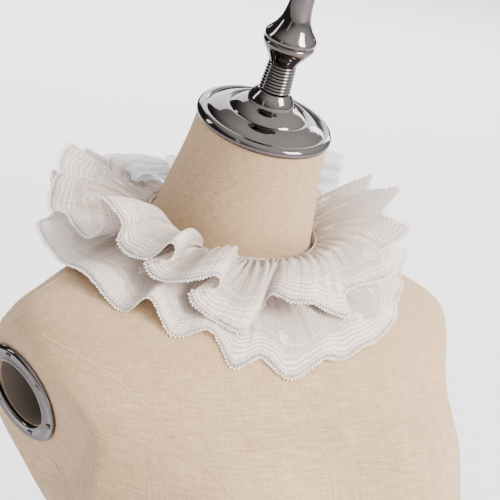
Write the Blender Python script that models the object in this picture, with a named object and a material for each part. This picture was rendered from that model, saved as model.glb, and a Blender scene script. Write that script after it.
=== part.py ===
"""Two-tier lace ruff collar with a ribbon bow, on a limbless dress form that it rests on.

Metres, +Z up. The form faces -Y and stands on its flat base, whose centre is the origin.
"""
import math

import bmesh
import bpy
import numpy as np
from mathutils import Matrix, Vector
from mathutils.bvhtree import BVHTree

MM = 0.001

# ---- driving dimensions, in millimetres and degrees ----
BASE_DROP = 500.0           # neck cap's rim above the flat base
BASE_SHIFT = 40.0           # base centre in front of the cap's centre
NECK_LEAN = 18.0            # the neck leans forward
SEAM_GAP = 0.3              # between pieces that touch

NECKLINE_DROP = 78.0        # from the cap's rim down the neck to where heights are measured from
NECKLINE_FRONT = -3.0       # height of the collar's neckline in front
NECKLINE_BACK = -20.0       # and behind
BAND_RADIUS = 62.6          # inner radius of the neckband
BAND_WALL = 1.2
BAND_LEVELS = (6.0, -1.0, -4.0)     # its upper edge, a line between and its lower edge
BAND_OPENING = 172.0        # the band's ends lie this far round from the front, each side
BAND_STEPS = 36
BAND_CLEARANCE = 0.8        # from the form to the neckband where they touch
LACE_WALL = 1.0
ROOT_GAP = 0.3              # from the neckband to each gathered lace edge

SOCKET_RADIUS = 26.0
SOCKET_DEPTH = 34.0
ARM_PLATE_CENTRE = (166.0, 4.8, -197.0)     # from the cap rim's centre, wearer's left side
ARM_PLATE_DOWN = 22.4       # the plate faces this far below the horizon
ARM_PLATE_FORWARD = 12.7    # and this far forward
PLATE_FLAT = 68.0           # flat radius round the plate's centre
PLATE_FADE = 104.0          # where the side takes its own shape again

FORM_COLUMNS = 44

# Sections of the form, measured from the cap rim's centre:
# centre y and z, forward tilt, half width, depth in front and behind, roundness
FORM_SECTIONS = (
    # y,     z,     tilt, half, front, back, power
    (-0.3, -1.0, 18.0, 48.5, 48.5, 48.5, 2.0),
    (9.0, -28.0, 18.0, 51.0, 51.0, 51.0, 2.0),
    (18.0, -56.0, 18.0, 56.0, 55.6, 55.6, 2.0),
    (23.0, -71.0, 18.0, 58.4, 58.0, 58.0, 2.0),
    (25.4, -80.0, 18.0, 59.8, 59.6, 59.6, 2.0),
    (26.0, -88.0, 17.5, 62.4, 61.5, 61.0, 2.0),
    (20.0, -97.0, 15.0, 77.0, 65.0, 62.0, 2.0),
    (12.0, -106.0, 12.0, 108.0, 69.0, 66.0, 2.0),
    (1.0, -117.0, 9.0, 142.0, 74.0, 70.0, 2.0),
    (-6.0, -130.0, 8.0, 168.0, 79.0, 77.0, 1.95),
    (-3.0, -146.0, 7.0, 180.0, 86.0, 94.0, 2.0),
    (2.0, -170.0, 6.0, 186.0, 105.0, 112.0, 2.05),
    (0.0, -200.0, 4.0, 181.0, 137.0, 123.0, 2.1),
    (-3.0, -235.0, 2.0, 178.0, 151.0, 129.0, 2.2),
    (-14.0, -270.0, 0.0, 153.0, 163.0, 125.0, 2.2),
    (-25.0, -310.0, 0.0, 119.0, 149.0, 116.0, 2.2),
    (-32.0, -350.0, 0.0, 109.0, 130.0, 108.0, 2.15),
    (-37.0, -400.0, 0.0, 110.0, 109.0, 102.0, 2.15),
    (-40.0, -450.0, 0.0, 115.0, 98.0, 96.0, 2.15),
    (-40.0, -500.0, 0.0, 120.0, 94.0, 94.0, 2.15),
)
RINGS_BETWEEN = 2           # form rings from one section to the next

BUST_CENTRE = (78.0, -246.0)    # x and z of each cup's middle
BUST_RADIUS = 56.0
BUST_RISE = 30.0
NAPE_HEIGHT = -124.0            # fullness where the neck meets the back
NAPE_RADIUS = 46.0
NAPE_SPAN = 24.0
NAPE_RISE = 26.0


# Turns of each lace tier's outer edge, from the opening at centre back round the wearer's right
# side: bearing from the front in degrees, reach from the neck's axis, height, and how high the
# cloth arches between the gathered edge and the turn. A turn that goes back in bearing tucks the
# cloth under the flute before it.
UPPER_TURNS = (
    # bearing, reach, height, lift
    (-158.0, 104.0, -14.0, 2.0),
    (-147.0, 112.0, -8.0, 2.0),
    (-137.0, 102.0, -14.0, 2.0),
    (-124.0, 130.0, 15.0, 2.0),
    (-114.0, 133.0, 4.0, 6.0),
    (-113.0, 112.0, 0.0, 10.0),
    (-108.0, 134.0, 9.0, 14.0),
    (-106.0, 136.0, -17.0, 5.0),
    (-103.0, 126.0, -15.0, 2.0),
    (-93.0, 124.0, -13.0, 1.0),
    (-85.0, 120.0, -12.0, 3.0),
    (-80.0, 118.0, 6.0, 14.0),
    (-83.0, 123.0, 25.0, 24.0),
    (-78.0, 123.0, 27.0, 30.0),
    (-71.5, 118.0, 18.0, 31.0),
    (-71.3, 118.0, 3.0, 31.0),
    (-64.0, 119.0, 1.0, 31.0),
    (-57.0, 118.0, 8.0, 31.0),
    (-53.3, 108.0, 21.0, 30.0),
    (-51.4, 106.0, 14.0, 25.0),
    (-53.0, 106.0, 5.0, 18.0),
    (-57.0, 109.0, 2.5, 15.0),
    (-59.6, 113.0, -1.0, 12.0),
    (-56.5, 116.5, -5.5, 10.0),
    (-51.0, 118.0, -5.0, 12.0),
    (-42.5, 118.0, 4.0, 31.0),
    (-33.8, 110.0, 11.0, 30.0),
    (-31.9, 108.0, 4.0, 24.0),
    (-33.5, 108.0, -2.0, 19.0),
    (-37.5, 109.5, -4.0, 15.0),
    (-40.8, 113.5, -8.0, 12.0),
    (-38.5, 118.0, -13.0, 10.0),
    (-32.4, 120.5, -17.0, 11.0),
    (-21.0, 123.0, -21.0, 29.0),
    (-16.0, 110.0, -16.0, 28.0),
    (-12.5, 99.0, -13.0, 23.0),
    (-10.5, 97.0, -6.0, 20.0),
    (-10.0, 103.0, 1.0, 21.0),
    (-5.0, 112.0, 1.0, 26.0),
    (5.0, 114.0, 1.0, 30.0),
    (9.0, 98.0, -8.0, 22.0),
    (23.0, 117.0, -24.0, 31.0),
    (34.0, 100.0, -16.0, 18.0),
    (48.0, 124.0, 3.0, 30.0),
    (55.0, 108.0, 4.0, 18.0),
    (61.0, 127.0, 26.0, 24.0),
    (67.5, 106.0, 27.0, 12.0),
    (75.0, 118.0, 42.0, 14.0),
    (83.0, 102.0, 30.0, 8.0),
    (93.0, 113.0, 32.0, 8.0),
    (103.0, 100.0, -5.0, 3.0),
    (116.0, 112.0, -9.0, 3.0),
    (127.0, 104.0, -15.0, 3.0),
    (140.0, 113.0, -8.0, 3.0),
    (150.0, 104.0, -15.0, 3.0),
    (158.0, 104.0, -13.0, 3.0),
)
LOWER_TURNS = (
    # bearing, reach, height, lift
    (-158.0, 128.0, -30.0, 3.0),
    (-147.0, 134.0, -12.0, 6.0),
    (-135.0, 128.0, -30.0, 3.0),
    (-122.0, 138.0, -8.0, 6.0),
    (-113.0, 130.0, -30.0, 3.0),
    (-103.0, 143.0, -28.0, 6.0),
    (-89.0, 136.0, -34.0, 6.0),
    (-72.0, 139.0, -20.0, 12.0),
    (-56.0, 142.0, -29.0, 6.0),
    (-51.0, 134.0, -12.0, 9.0),
    (-40.5, 140.0, -35.0, 2.0),
    (-31.5, 128.0, -24.0, 3.0),
    (-22.0, 139.0, -44.0, 1.0),
    (-14.0, 131.0, -36.0, 4.0),
    (-4.0, 138.0, -46.0, 2.0),
    (8.0, 133.0, -36.0, 6.0),
    (16.0, 134.0, -42.0, 6.0),
    (23.0, 136.0, -34.0, 12.0),
    (31.0, 137.0, -37.0, 6.0),
    (41.0, 138.0, -26.0, 12.0),
    (51.0, 134.0, -28.0, 6.0),
    (61.0, 136.0, -19.0, 12.0),
    (69.0, 138.0, -27.0, 6.0),
    (77.0, 144.0, -12.0, 12.0),
    (87.0, 138.0, -30.0, 6.0),
    (99.0, 140.0, -10.0, 12.0),
    (110.0, 130.0, -30.0, 3.0),
    (122.0, 136.0, -10.0, 6.0),
    (133.0, 128.0, -30.0, 3.0),
    (145.0, 134.0, -12.0, 6.0),
    (158.0, 128.0, -26.0, 3.0),
)
# height of the gathered edge above the neckline, and how far out the arch's top lies
UPPER_ARCH = (3.2, 0.34)
LOWER_ARCH = (-2.2, 0.40)
UPPER_SPACING = 6.4         # from one column of the solid to the next, along the outer edge
LOWER_SPACING = 6.8
ROOT_BLUR = 45.0            # length of edge over which the gathers even out
CLOTH_ROWS = 5              # rows of faces from the gathered edge to the outer edge
FORM_CLEARANCE = 1.8        # middle of the lower tier above the form
BAND_LIFT = 1.5             # and above the neckband
TIER_CLEARANCE = 2.4        # middle of the upper tier above the lower one


# Turned profiles along the neck's axis: radius and height above the cap's rim
CAP_PROFILE = (
    (49.2, -0.7), (50.0, 0.4), (50.2, 2.0), (49.4, 4.0), (47.4, 5.4), (45.2, 6.0), (43.8, 5.4),
    (42.6, 6.6), (38.0, 9.2), (33.0, 11.0), (30.0, 11.6), (28.8, 11.0), (27.4, 12.4),
    (23.6, 15.4), (19.0, 17.6), (17.2, 18.2), (16.8, 20.4), (15.6, 23.0), (13.6, 25.6),
    (12.0, 28.0),
)
FINIAL_PROFILE = (
    (10.4, 50.0), (12.0, 53.6), (15.6, 58.8), (18.0, 63.0), (18.6, 65.4), (17.8, 67.0),
    (18.5, 68.6), (18.7, 70.4), (17.6, 72.4), (14.6, 76.0), (11.6, 81.0), (9.7, 87.0),
    (8.8, 94.0), (8.5, 100.0), (7.6, 104.6), (5.0, 107.8),
)
STUD_RIBS = 9
STUD_HEIGHTS = (28.3, 49.7)
STUD_RADII = (11.6, 10.4)   # at the foot and at the top
STUD_GROOVE = 0.9
TURN_SEGMENTS = 30
STUD_SEGMENTS = 18

RING_PROFILE = (            # radius and height of the arm ring's section
    (26.6, 0.0), (26.6, 2.6), (27.6, 3.6), (29.4, 3.2), (30.4, 2.4), (35.2, 2.2),
    (36.4, 3.0), (37.8, 2.4), (38.4, 0.9), (38.4, 0.0),
)
SCREW_COUNT = 6
SCREW_CIRCLE = 32.8
SCREW_RADIUS = 2.3
SCREW_HEIGHT = 1.5

# Ribbon bow behind the neck; points by side, distance behind the neck's axis and height
# along the ribbon's middle, with the share of the full width
RIBBON_WALL = 1.0
RIBBON_CLEARANCE = 1.7
RIBBON_WIDTH = 34.0
KNOT_SIZE = (17.0, 12.0, 19.0)      # across, through and up
KNOT_CENTRE = (0.0, 74.0, -16.0)
LOOP_DROOP = {"left": 8.0, "right": 82.0}   # each loop's width leans away from the neck
BOW_LOOPS = {
    # side, behind, height, share of the full width
    "left": ((8.5, 73.4, -15.6, 0.42), (24.0, 69.0, -14.0, 0.5), (50.0, 64.0, -9.0, 0.55),
             (80.0, 50.0, -3.0, 0.75), (103.0, 38.0, 0.0, 0.9), (110.0, 37.0, 0.0, 0.9),
             (108.0, 44.0, 0.0, 0.9), (84.0, 64.0, -4.0, 0.75), (52.0, 77.0, -10.0, 0.55),
             (26.0, 79.0, -14.0, 0.5), (8.5, 75.6, -16.4, 0.42)),
    "right": ((-8.5, 74.0, -17.6, 0.42), (-24.0, 75.0, -16.0, 0.62),
              (-40.0, 73.0, -14.0, 0.75), (-51.0, 70.0, -12.0, 0.8), (-57.5, 66.0, -11.5, 0.8),
              (-60.5, 64.0, -9.5, 0.8), (-57.5, 66.0, -7.5, 0.8), (-51.0, 71.0, -7.5, 0.8),
              (-40.0, 75.0, -10.5, 0.75), (-24.0, 77.0, -12.0, 0.6), (-8.5, 74.0, -14.6, 0.42)),
}
BOW_TAILS = {
    "left": ((5.4, 77.5, -28.0, 0.28), (10.0, 88.0, -22.0, 0.42),
             (16.5, 104.0, -20.0, 0.66), (22.0, 122.0, -22.0, 0.85),
             (27.0, 138.0, -36.0, 0.92), (31.0, 136.0, -62.0, 0.95),
             (36.0, 124.0, -96.0, 0.95), (40.0, 112.0, -130.0, 0.95)),
    "right": ((-5.4, 77.5, -28.0, 0.28), (-10.0, 88.0, -22.0, 0.42),
              (-18.0, 104.0, -20.0, 0.66), (-26.0, 122.0, -22.0, 0.85),
              (-32.0, 138.0, -36.0, 0.92), (-36.0, 136.0, -60.0, 0.95),
              (-42.0, 126.0, -90.0, 0.95), (-46.0, 118.0, -116.0, 0.95)),
}
RIBBON_STEPS = 2            # lengths between two listed points
RIBBON_ROWS = 3


def clear_scene():
    for obj in list(bpy.data.objects):
        bpy.data.objects.remove(obj, do_unlink=True)


def material(name, colour, roughness, metallic=0.0):
    made = bpy.data.materials.new(name)
    made.use_nodes = True
    shader = made.node_tree.nodes["Principled BSDF"]
    shader.inputs["Base Color"].default_value = (*colour, 1.0)
    shader.inputs["Roughness"].default_value = roughness
    shader.inputs["Metallic"].default_value = metallic
    return made


def new_object(name, mesh_builder, finish):
    mesh = bpy.data.meshes.new(name)
    mesh_builder.to_mesh(mesh)
    mesh_builder.free()
    mesh.materials.append(finish)
    mesh.shade_smooth()
    mesh.set_sharp_from_angle(angle=math.radians(40.0))
    obj = bpy.data.objects.new(name, mesh)
    bpy.context.collection.objects.link(obj)
    return obj


def to_row(point):
    """From the cap rim's centre, in millimetres, to the part's frame, in metres."""
    x, y, z = point
    return Vector((x, y + BASE_SHIFT, z + BASE_DROP)) * MM


def neck_frame(along=0.0):
    """Axes of the neck, with its origin on the neck's axis, this far above the cap's rim."""
    turn = Matrix.Rotation(math.radians(NECK_LEAN), 4, "X")
    axis = turn @ Vector((0.0, 0.0, along))
    return Matrix.Translation(to_row(axis)) @ turn


def superellipse(angle, half, front, back, power):
    """Point of a section: angle 0 is the front, 90 degrees the wearer's left."""
    sine = math.sin(angle)
    cosine = math.cos(angle)
    x = half * math.copysign(abs(sine) ** (2.0 / power), sine)
    depth = front if cosine > 0.0 else back
    y = -depth * math.copysign(abs(cosine) ** (2.0 / power), cosine)
    return x, y


def smooth_rows(rows, between):
    """Catmull-Rom rows between the rows of a table."""
    table = np.array(rows, dtype=float)
    padded = np.vstack([2 * table[0] - table[1], table, 2 * table[-1] - table[-2]])
    out = []
    for index in range(len(table) - 1):
        a, b, c, d = padded[index:index + 4]
        for step in range(between):
            t = step / between
            out.append(0.5 * (2 * b + (c - a) * t + (2 * a - 5 * b + 4 * c - d) * t ** 2
                              + (3 * b - a - 3 * c + d) * t ** 3))
    out.append(table[-1])
    return out


def plate_frame(side):
    """Centre and outward normal of an arm plate; side is 1 for the wearer's left."""
    x, y, z = ARM_PLATE_CENTRE
    down = math.radians(ARM_PLATE_DOWN)
    forward = math.radians(ARM_PLATE_FORWARD)
    normal = Vector((side * math.cos(down) * math.cos(forward),
                     -math.cos(down) * math.sin(forward), -math.sin(down)))
    return Vector((side * x, y, z)), normal


def press_plate(point, softness=5.0):
    """Flatten the form's side where an arm plate is fastened."""
    for side in (-1, 1):
        centre, normal = plate_frame(side)
        offset = point - centre
        height = offset.dot(normal)
        if height < -4 * softness:
            continue
        spread = (offset - normal * height).length
        fade = min(1.0, max(0.0, (PLATE_FADE - spread) / (PLATE_FADE - PLATE_FLAT)))
        fade = fade * fade * (3.0 - 2.0 * fade)
        excess = height + softness * math.log1p(math.exp(-height / softness))
        point = point - normal * excess * fade
    return point


def form_point(section, angle):
    y, z, tilt, half, front, back, power = section
    px, py = superellipse(angle, half, front, back, power)
    lean = math.radians(tilt)
    point = Vector((px, y + py * math.cos(lean), z + py * math.sin(lean)))
    if point.y < y:
        for side in (-1, 1):
            across = (point.x - side * BUST_CENTRE[0]) / BUST_RADIUS
            rise = (point.z - BUST_CENTRE[1]) / BUST_RADIUS
            point.y -= BUST_RISE * math.exp(-(across ** 2 + rise ** 2))
    elif point.y > y:
        across = point.x / NAPE_RADIUS
        rise = (point.z - NAPE_HEIGHT) / NAPE_SPAN
        point.y += NAPE_RISE * math.exp(-(across ** 2 + rise ** 2))
    return press_plate(point)


def skin(rings, bm):
    """Closed tube through rings of equal length, capped by flat faces."""
    loops = [[bm.verts.new(point) for point in ring] for ring in rings]
    count = len(loops[0])
    for low, high in zip(loops, loops[1:]):
        for index in range(count):
            after = (index + 1) % count
            bm.faces.new((low[index], low[after], high[after], high[index]))
    bm.faces.new(loops[0])
    bm.faces.new(reversed(loops[-1]))
    bmesh.ops.recalc_face_normals(bm, faces=bm.faces)


def make_form(linen):
    bm = bmesh.new()
    rings = []
    for section in smooth_rows(FORM_SECTIONS, RINGS_BETWEEN):
        turns = [2 * math.pi * index / FORM_COLUMNS for index in range(FORM_COLUMNS)]
        rings.append([to_row(form_point(section, turn)) for turn in turns])
    skin(rings, bm)
    form = new_object("form_torso", bm, linen)
    for side, word in ((-1, "right"), (1, "left")):
        centre, normal = plate_frame(side)
        cutter = bmesh.new()
        bmesh.ops.create_cone(cutter, cap_ends=True, segments=32, radius1=SOCKET_RADIUS * MM,
                              radius2=SOCKET_RADIUS * MM, depth=2 * SOCKET_DEPTH * MM)
        turn = normal.to_track_quat("Z", "Y").to_matrix().to_4x4()
        cutter.transform(Matrix.Translation(to_row(centre)) @ turn)
        guide = new_object("socket_cutter_" + word, cutter, linen)
        guide.hide_render = True
        guide.display_type = "WIRE"
        cut = form.modifiers.new("socket_" + word, "BOOLEAN")
        cut.operation = "DIFFERENCE"
        cut.object = guide
    return form


def neckline_height(bearing):
    half = 0.5 * (NECKLINE_FRONT - NECKLINE_BACK)
    return NECKLINE_BACK + half * (1.0 + math.cos(math.radians(bearing)))


def round_neck(bearing, reach, height):
    """Point by its bearing from the front, reach from the neck's axis and height, to
    millimetres from the cap rim's centre."""
    turn = math.radians(bearing)
    lean = math.radians(NECK_LEAN)
    side = reach * math.sin(turn)
    ahead = reach * math.cos(turn)
    along = height - NECKLINE_DROP
    return Vector((side, -along * math.sin(lean) - ahead * math.cos(lean),
                   along * math.cos(lean) - ahead * math.sin(lean)))


def neck_up():
    lean = math.radians(NECK_LEAN)
    return Vector((0.0, -math.sin(lean), math.cos(lean)))


def outer_edge(turns, spacing):
    """Even spots along a smooth line through the turns: bearing, reach, height and lift."""
    table = np.array(turns)
    bearing = np.radians(table[:, 0])
    knots = np.column_stack([table[:, 1] * np.sin(bearing), table[:, 1] * np.cos(bearing),
                             table[:, 2], table[:, 3]])
    spans = np.sqrt(np.linalg.norm(np.diff(knots[:, :3], axis=0), axis=1))
    times = np.concatenate([[0.0], np.cumsum(spans)])
    slopes = np.gradient(knots, times, axis=0)
    dense = []
    for index, span in enumerate(spans):
        for t in np.arange(0.0, 1.0, 0.02):
            dense.append((2 * t ** 3 - 3 * t ** 2 + 1) * knots[index]
                         + (3 * t ** 2 - 2 * t ** 3) * knots[index + 1]
                         + (t ** 3 - 2 * t ** 2 + t) * span * slopes[index]
                         + (t ** 3 - t ** 2) * span * slopes[index + 1])
    dense = np.array(dense + [knots[-1]])
    steps = np.linalg.norm(np.diff(dense[:, :3], axis=0), axis=1)
    gone = np.concatenate([[0.0], np.cumsum(steps)])
    even = np.linspace(0.0, gone[-1], round(gone[-1] / spacing) + 1)
    spots = np.column_stack([np.interp(even, gone, dense[:, k]) for k in range(4)])
    side = spots[:, 0].copy()
    ahead = spots[:, 1].copy()
    spots[:, 0] = np.degrees(np.unwrap(np.arctan2(side, ahead)))
    spots[:, 1] = np.hypot(side, ahead)
    return spots


def root_bearings(bearings, spacing):
    """Bearings of the gathered edge: nearly even, drawn towards the flutes above them."""
    spread = round(ROOT_BLUR / spacing)
    kernel = np.hanning(2 * spread + 3)[1:-1]
    padded = np.pad(bearings, spread, mode="reflect", reflect_type="odd")
    near = np.maximum.accumulate(np.convolve(padded, kernel / kernel.sum(), mode="valid"))
    even = np.linspace(bearings[0], bearings[-1], len(bearings))
    return 0.45 * near + 0.55 * even


def clear_reach(form_tree, bearing, height, least, off):
    """Reach of a sewn edge: the least, or clear of the form where that is wider."""
    start = to_row(round_neck(bearing, 150.0, height))
    inward = (to_row(round_neck(bearing, 0.0, height)) - start).normalized()
    hit = form_tree.ray_cast(start, inward)
    slant = max(0.5, abs(hit[1].dot(inward)))
    return max(least, 150.0 - hit[3] / MM + off / slant)


def ruffle_grid(turns, arch, spacing, rows, form_tree):
    """Middle surface of a tier: a list of columns, each from the gathered edge outward."""
    root_height, out = arch
    columns = outer_edge(turns, spacing)
    roots = root_bearings(columns[:, 0], spacing)
    grid = []
    for (bearing, reach, height, lift), root in zip(columns, roots):
        low = root_height + neckline_height(root)
        root_reach = clear_reach(form_tree, root, low,
                                 BAND_RADIUS + BAND_WALL + ROOT_GAP + 0.5 * LACE_WALL,
                                 BAND_CLEARANCE + BAND_WALL + 0.5 * LACE_WALL + 1.9)
        middle_reach = root_reach + (reach - root_reach) * out
        middle_height = low + (height - low) * out + lift
        middle_bearing = root + (bearing - root) * 0.5
        line = []
        for row in range(rows + 1):
            v = row / rows
            a = (1 - v) ** 2
            b = 2 * v * (1 - v)
            c = v ** 2
            line.append(round_neck(a * root + b * middle_bearing + c * bearing,
                                   a * root_reach + b * middle_reach + c * reach,
                                   a * low + b * middle_height + c * height))
        grid.append(line)
    return grid


def lift_clear(grid, below, clearance, direction, whole=False, spread=1.5, reach=60.0):
    """Lift a middle surface along a direction until it clears what lies under it.

    A whole loop of the bow rises together, by less near the knot.
    """
    lift = np.zeros((len(grid), len(grid[0])))
    side = direction.orthogonal().normalized() * spread
    ahead = direction.cross(side)
    offsets = (Vector(), side, -side, ahead, -ahead)
    for i, line in enumerate(grid):
        for j, point in enumerate(line):
            spots = [point + aside for aside in offsets]
            for beside in grid[max(i - 1, 0):i + 2]:
                spots += [(point + other) * 0.5 for other in beside[max(j - 1, 0):j + 2]]
            for spot in spots:
                start = to_row(spot + direction * reach)
                hit = below.ray_cast(start, -direction, (reach + 2 * clearance) * MM)
                if hit[0] is not None:
                    slant = max(0.4, abs(hit[1].dot(direction)))
                    lift[i, j] = max(lift[i, j], reach + clearance / slant - hit[3] / MM)
    if whole:
        fades = np.clip([(abs(line[0].x) - 6.0) / 17.0 for line in grid], 0.02, 1.0)
        lift[:] = (lift.max(axis=1) / fades).max() * fades[:, None]
    widest = lift.copy()
    if not whole:
        for shift in (-3, -2, -1, 1, 2, 3):
            widest = np.maximum(widest, (1.0 - 0.22 * abs(shift)) * np.roll(lift, shift, axis=0))
        widest[:, 0] = 0.0
    for i, line in enumerate(grid):
        for j in range(len(line)):
            line[j] = line[j] + direction * widest[i, j]


def settle(grid, trees, direction, wall):
    """Lower a whole middle surface until its wall rests just above what lies under it."""
    for _ in range(4):
        spots = []
        for line, following in zip(grid, grid[1:]):
            for a, b, c, d in zip(line, line[1:], following, following[1:]):
                spots += [a.lerp(d, t) for t in (0.0, 0.25, 0.5, 0.75, 1.0)]
                spots += [b.lerp(c, t) for t in (0.0, 0.25, 0.5, 0.75, 1.0)]
                spots += [a.lerp(b, 0.5), a.lerp(c, 0.5), c.lerp(d, 0.5), b.lerp(d, 0.5)]
        nearest = min(tree.find_nearest(to_row(spot))[3] for tree in trees for spot in spots)
        drop = max(0.0, nearest / MM - 0.5 * wall - SEAM_GAP)
        for line in grid:
            for j in range(len(line)):
                line[j] = line[j] - direction * drop


def cloth_normals(grid):
    normals = []
    for i, line in enumerate(grid):
        column = []
        for j in range(len(line)):
            along = grid[min(i + 1, len(grid) - 1)][j] - grid[max(i - 1, 0)][j]
            across = line[min(j + 1, len(line) - 1)] - line[max(j - 1, 0)]
            column.append(along.cross(across).normalized())
        normals.append(column)
    return normals


def cloth_solid(name, grid, wall, finish):
    """Closed wall of even thickness round a middle surface."""
    bm = bmesh.new()
    normals = cloth_normals(grid)
    sheets = []
    for side in (0.5, -0.5):
        sheets.append([[bm.verts.new(to_row(point + normal * wall * side))
                        for point, normal in zip(line, column)]
                       for line, column in zip(grid, normals)])
    last = len(grid) - 1
    edge = len(grid[0]) - 1
    for sheet, flip in zip(sheets, (False, True)):
        for i in range(last):
            for j in range(edge):
                loop = [sheet[i][j], sheet[i + 1][j], sheet[i + 1][j + 1], sheet[i][j + 1]]
                bm.faces.new(loop[::-1] if flip else loop)
    top, bottom = sheets
    for i in range(last):
        bm.faces.new((top[i + 1][0], top[i][0], bottom[i][0], bottom[i + 1][0]))
        bm.faces.new((top[i][edge], top[i + 1][edge], bottom[i + 1][edge], bottom[i][edge]))
    for j in range(edge):
        bm.faces.new((top[0][j], top[0][j + 1], bottom[0][j + 1], bottom[0][j]))
        bm.faces.new((top[last][j + 1], top[last][j], bottom[last][j], bottom[last][j + 1]))
    bmesh.ops.recalc_face_normals(bm, faces=bm.faces)
    return new_object(name, bm, finish)


def tree_of(obj):
    depsgraph = bpy.context.evaluated_depsgraph_get()
    return BVHTree.FromObject(obj, depsgraph)


def make_lace(form, band, lace):
    up = neck_up()
    lower = ruffle_grid(LOWER_TURNS, LOWER_ARCH, LOWER_SPACING, CLOTH_ROWS, tree_of(form))
    lift_clear(lower, tree_of(form), FORM_CLEARANCE, up)
    for _ in range(3):
        lift_clear(lower, tree_of(band), BAND_LIFT, up)
    settle(lower, (tree_of(form), tree_of(band)), up, LACE_WALL)
    under = cloth_solid("lower_ruffle", lower, LACE_WALL, lace)
    upper = ruffle_grid(UPPER_TURNS, UPPER_ARCH, UPPER_SPACING, CLOTH_ROWS, tree_of(form))
    lift_clear(upper, tree_of(under), TIER_CLEARANCE, up)
    lift_clear(upper, tree_of(form), FORM_CLEARANCE, up)
    over = cloth_solid("upper_ruffle", upper, LACE_WALL, lace)
    return under, over


def make_neckband(lace, form):
    """Narrow gathered band that both tiers are sewn to, open at centre back."""
    form_tree = tree_of(form)
    grid = []
    for step in range(BAND_STEPS + 1):
        bearing = -BAND_OPENING + 2 * BAND_OPENING * step / BAND_STEPS
        heights = [neckline_height(bearing) + level for level in BAND_LEVELS]
        reaches = [clear_reach(form_tree, bearing, height, BAND_RADIUS + 0.5 * BAND_WALL,
                               BAND_CLEARANCE + 0.5 * BAND_WALL) for height in heights]
        grid.append([round_neck(bearing, reach, height)
                     for reach, height in zip(reaches, heights)])
    return cloth_solid("neckband", grid, BAND_WALL, lace)


def turned(name, profile, finish, place, segments=TURN_SEGMENTS):
    """Solid of revolution about local Z; the profile runs upward on its outer side."""
    bm = bmesh.new()
    rings = []
    for radius, height in profile:
        rings.append([place @ (Vector((radius * math.cos(turn), radius * math.sin(turn),
                                       height)) * MM)
                      for turn in (2 * math.pi * index / segments for index in range(segments))])
    skin(rings, bm)
    return new_object(name, bm, finish)


def make_cap(chrome):
    place = neck_frame()
    turned("neck_cap", CAP_PROFILE, chrome, place)
    low, high = STUD_HEIGHTS
    pitch = (high - low) / STUD_RIBS
    thread = []
    for rib in range(STUD_RIBS):
        height = low + rib * pitch
        radius = STUD_RADII[0] + (STUD_RADII[1] - STUD_RADII[0]) * rib / (STUD_RIBS - 1)
        thread += [(radius - STUD_GROOVE, height), (radius, height + 0.35 * pitch),
                   (radius, height + 0.65 * pitch)]
    thread.append((STUD_RADII[1] - STUD_GROOVE, high))
    turned("neck_stud", thread, chrome, place, STUD_SEGMENTS)
    turned("finial", FINIAL_PROFILE, chrome, place)


def make_arm_rings(chrome):
    """Flanged ring round each socket, with its screw heads in one piece with it."""
    for side, word in ((-1, "right"), (1, "left")):
        centre, normal = plate_frame(side)
        turn = normal.to_track_quat("Z", "Y").to_matrix().to_4x4()
        place = Matrix.Translation(to_row(centre + normal * SEAM_GAP)) @ turn
        bm = bmesh.new()
        loops = []
        for index in range(TURN_SEGMENTS):
            angle = 2 * math.pi * index / TURN_SEGMENTS
            loops.append([bm.verts.new(place @ (Vector((radius * math.cos(angle),
                                                        radius * math.sin(angle),
                                                        height)) * MM))
                          for radius, height in RING_PROFILE])
        count = len(RING_PROFILE)
        for index, loop in enumerate(loops):
            following = loops[(index + 1) % TURN_SEGMENTS]
            for j in range(count):
                k = (j + 1) % count
                bm.faces.new((loop[j], loop[k], following[k], following[j]))
        bmesh.ops.recalc_face_normals(bm, faces=bm.faces)
        ring = new_object("arm_ring_" + word, bm, chrome)
        for screw in range(SCREW_COUNT):
            angle = 2 * math.pi * (screw + 0.5) / SCREW_COUNT
            seat = Vector((SCREW_CIRCLE * math.cos(angle), SCREW_CIRCLE * math.sin(angle),
                           0.5 * (2.0 + 2.2 + SCREW_HEIGHT))) * MM
            head = bmesh.new()
            bmesh.ops.create_cone(head, cap_ends=True, segments=12,
                                  radius1=SCREW_RADIUS * MM, radius2=0.75 * SCREW_RADIUS * MM,
                                  depth=(0.2 + SCREW_HEIGHT) * MM)
            head.transform(place @ Matrix.Translation(seat))
            guide = new_object("screw_guide_%s_%d" % (word, screw), head, chrome)
            guide.hide_render = True
            guide.display_type = "WIRE"
            join = ring.modifiers.new("screw_%d" % screw, "BOOLEAN")
            join.operation = "UNION"
            join.object = guide


def behind_neck(side, behind, height):
    lean = math.radians(NECK_LEAN)
    along = height - NECKLINE_DROP
    return Vector((side, -along * math.sin(lean) + behind * math.cos(lean),
                   along * math.cos(lean) + behind * math.sin(lean)))


def ribbon_grid(points, across):
    """Ribbon along a path, its width laid along across, narrowing where it is gathered."""
    grid = []
    for side, behind, height, share in smooth_rows(points, RIBBON_STEPS):
        middle = behind_neck(side, behind, height)
        grid.append([middle + across * RIBBON_WIDTH * share * (row / RIBBON_ROWS - 0.5)
                     for row in range(RIBBON_ROWS + 1)])
    return grid


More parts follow.
